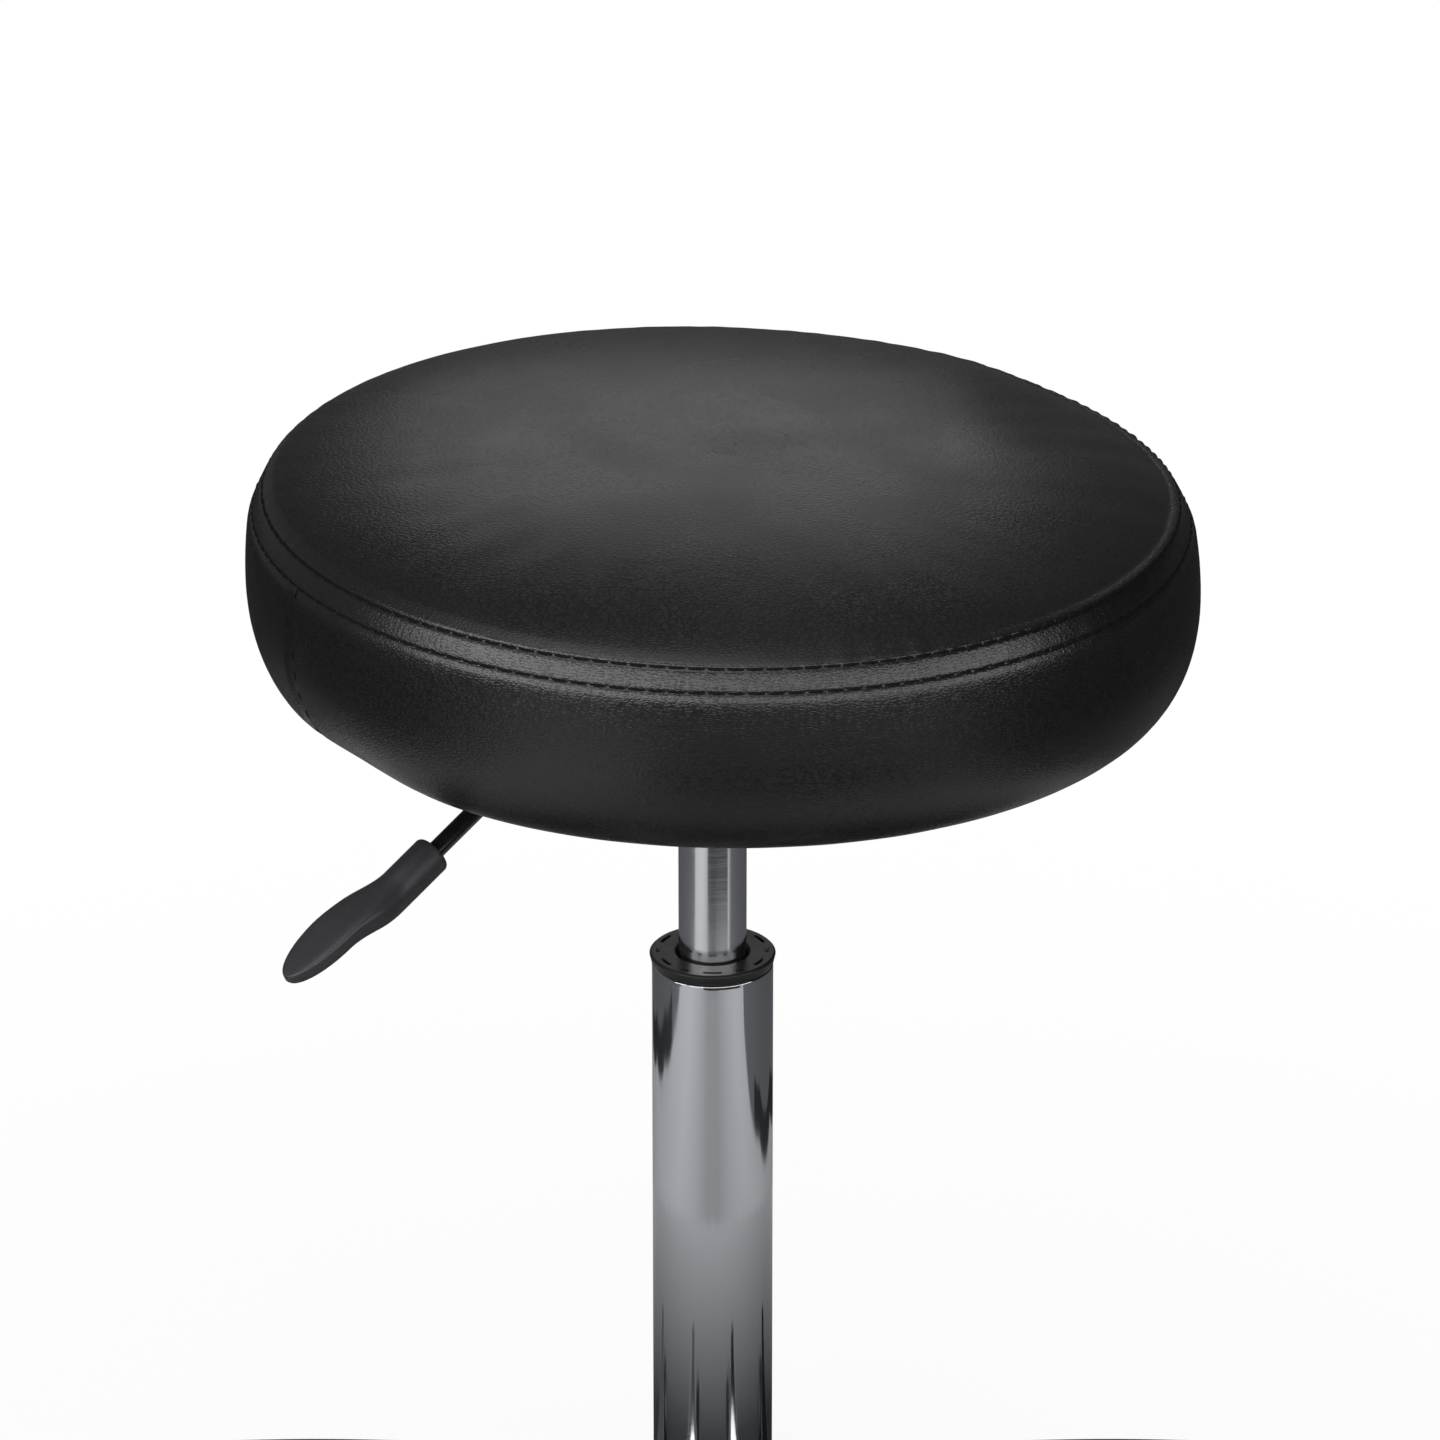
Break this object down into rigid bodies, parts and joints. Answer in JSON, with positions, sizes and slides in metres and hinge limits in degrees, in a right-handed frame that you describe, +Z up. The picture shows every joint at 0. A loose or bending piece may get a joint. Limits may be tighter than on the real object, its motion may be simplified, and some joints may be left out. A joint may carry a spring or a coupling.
{
  "type": "office stool",
  "caption": "Round padded swivel stool: stitched black seat on a gas lift with a paddle lever, on a five-star chrome base with twin-wheel casters.",
  "frame": {"origin": "on the column axis at floor level, under the centre of the base", "axes": "+Z up along the column, -Y towards the viewer's side of the picture, +X to its right"},
  "size_m": [0.4818, 0.4793, 0.5725],
  "materials": {
    "leather": "fine pebble grain",
    "foam": "open-cell foam",
    "plywood": "raw plywood",
    "dust_fabric": "non-woven cloth",
    "powder_coat": "satin black powder coat",
    "gloss_paint": "gloss black paint",
    "gloss_plastic": "gloss black moulding",
    "matt_plastic": "matt black moulding",
    "nylon": "satin black nylon",
    "rubber": "moulded rubber",
    "chrome": "polished chrome plate",
    "ground_steel": "satin ground steel",
    "zinc": "zinc plate"
  },
  "bodies": {
    "base": {"column_tube": "chrome", "column_bush": "gloss_plastic", "thrust_washer_lower": "zinc", "thrust_cage": "zinc", "thrust_washer_upper": "zinc", "bump_stop": "rubber", "base_hub": "chrome", "leg_1": "chrome", "leg_2": "chrome", "leg_3": "chrome", "leg_4": "chrome", "leg_5": "chrome", "caster_stem_1": "zinc", "caster_stem_2": "zinc", "caster_stem_3": "zinc", "caster_stem_4": "zinc", "caster_stem_5": "zinc"},
    "piston": {"piston_rod": "ground_steel", "piston_head": "rubber", "retaining_clip": "zinc"},
    "seat": {"inner_cylinder": "ground_steel", "cylinder_gland": "rubber", "taper_socket": "powder_coat", "lever_bracket": "powder_coat", "mount_plate": "powder_coat", "pivot_pin": "zinc", "plate_bolt_1": "zinc", "plate_bolt_2": "zinc", "plate_bolt_3": "zinc", "plate_bolt_4": "zinc", "seat_board": "plywood", "seat_foam": "foam", "top_panel": "leather", "side_band": "leather", "dust_cover": "dust_fabric"},
    "lever": {"lever_rod": "gloss_paint", "lever_sleeve": "zinc", "paddle_handle": "matt_plastic"},
    "valve": {"release_pin": "zinc"},
    "caster_1": {"caster_hood_1": "nylon", "caster_axle_1": "zinc"},
    "wheel_1_left": {"wheel_1_left": "nylon"},
    "wheel_1_right": {"wheel_1_right": "nylon"},
    "caster_2": {"caster_hood_2": "nylon", "caster_axle_2": "zinc"},
    "wheel_2_left": {"wheel_2_left": "nylon"},
    "wheel_2_right": {"wheel_2_right": "nylon"},
    "caster_3": {"caster_hood_3": "nylon", "caster_axle_3": "zinc"},
    "wheel_3_left": {"wheel_3_left": "nylon"},
    "wheel_3_right": {"wheel_3_right": "nylon"},
    "caster_4": {"caster_hood_4": "nylon", "caster_axle_4": "zinc"},
    "wheel_4_left": {"wheel_4_left": "nylon"},
    "wheel_4_right": {"wheel_4_right": "nylon"},
    "caster_5": {"caster_hood_5": "nylon", "caster_axle_5": "zinc"},
    "wheel_5_left": {"wheel_5_left": "nylon"},
    "wheel_5_right": {"wheel_5_right": "nylon"}
  },
  "joints": [
    {"name": "seat_swivel", "type": "hinge", "parent": "base", "child": "piston", "pos_m": [0, 0, 0.35212], "axis": [0, 0, 1], "continuous": true},
    {"name": "lift", "type": "slide", "parent": "piston", "child": "seat", "axis": [0, 0, 1], "range_m": [-0.055, 0.085]},
    {"name": "lever_pull", "type": "hinge", "parent": "seat", "child": "lever", "pos_m": [-0.02425, -0.02383, 0.45082], "axis": [-0.7009, 0.7133, 0], "range_deg": [0, 5], "stiffness_Nm_per_rad": 8, "springref_deg": -2.86},
    {"name": "valve_press", "type": "slide", "parent": "seat", "child": "valve", "axis": [0, 0, 1], "range_m": [-0.0031, 0]},
    {"name": "caster_swivel_1", "type": "hinge", "parent": "base", "child": "caster_1", "pos_m": [0, 0.228, 0.05662], "axis": [0, 0, 1], "continuous": true},
    {"name": "wheel_spin_1_left", "type": "hinge", "parent": "caster_1", "child": "wheel_1_left", "pos_m": [-0.01585, 0.203, 0.02462], "axis": [1, 0, 0], "continuous": true},
    {"name": "wheel_spin_1_right", "type": "hinge", "parent": "caster_1", "child": "wheel_1_right", "pos_m": [0.01585, 0.203, 0.02462], "axis": [1, 0, 0], "continuous": true},
    {"name": "caster_swivel_2", "type": "hinge", "parent": "base", "child": "caster_2", "pos_m": [-0.21684, 0.07046, 0.05662], "axis": [0, 0, 1], "continuous": true},
    {"name": "wheel_spin_2_left", "type": "hinge", "parent": "caster_2", "child": "wheel_2_left", "pos_m": [-0.23269, 0.04546, 0.02462], "axis": [1, 0, 0], "continuous": true},
    {"name": "wheel_spin_2_right", "type": "hinge", "parent": "caster_2", "child": "wheel_2_right", "pos_m": [-0.20099, 0.04546, 0.02462], "axis": [1, 0, 0], "continuous": true},
    {"name": "caster_swivel_3", "type": "hinge", "parent": "base", "child": "caster_3", "pos_m": [-0.13401, -0.18446, 0.05662], "axis": [0, 0, 1], "continuous": true},
    {"name": "wheel_spin_3_left", "type": "hinge", "parent": "caster_3", "child": "wheel_3_left", "pos_m": [-0.14986, -0.20946, 0.02462], "axis": [1, 0, 0], "continuous": true},
    {"name": "wheel_spin_3_right", "type": "hinge", "parent": "caster_3", "child": "wheel_3_right", "pos_m": [-0.11817, -0.20946, 0.02462], "axis": [1, 0, 0], "continuous": true},
    {"name": "caster_swivel_4", "type": "hinge", "parent": "base", "child": "caster_4", "pos_m": [0.13401, -0.18446, 0.05662], "axis": [0, 0, 1], "continuous": true},
    {"name": "wheel_spin_4_left", "type": "hinge", "parent": "caster_4", "child": "wheel_4_left", "pos_m": [0.11817, -0.20946, 0.02462], "axis": [1, 0, 0], "continuous": true},
    {"name": "wheel_spin_4_right", "type": "hinge", "parent": "caster_4", "child": "wheel_4_right", "pos_m": [0.14986, -0.20946, 0.02462], "axis": [1, 0, 0], "continuous": true},
    {"name": "caster_swivel_5", "type": "hinge", "parent": "base", "child": "caster_5", "pos_m": [0.21684, 0.07046, 0.05662], "axis": [0, 0, 1], "continuous": true},
    {"name": "wheel_spin_5_left", "type": "hinge", "parent": "caster_5", "child": "wheel_5_left", "pos_m": [0.20099, 0.04546, 0.02462], "axis": [1, 0, 0], "continuous": true},
    {"name": "wheel_spin_5_right", "type": "hinge", "parent": "caster_5", "child": "wheel_5_right", "pos_m": [0.23269, 0.04546, 0.02462], "axis": [1, 0, 0], "continuous": true}
  ],
  "couplings": [
    {"joint": "valve_press", "follows": "lever_pull", "m_per_rad": -0.034}
  ]
}
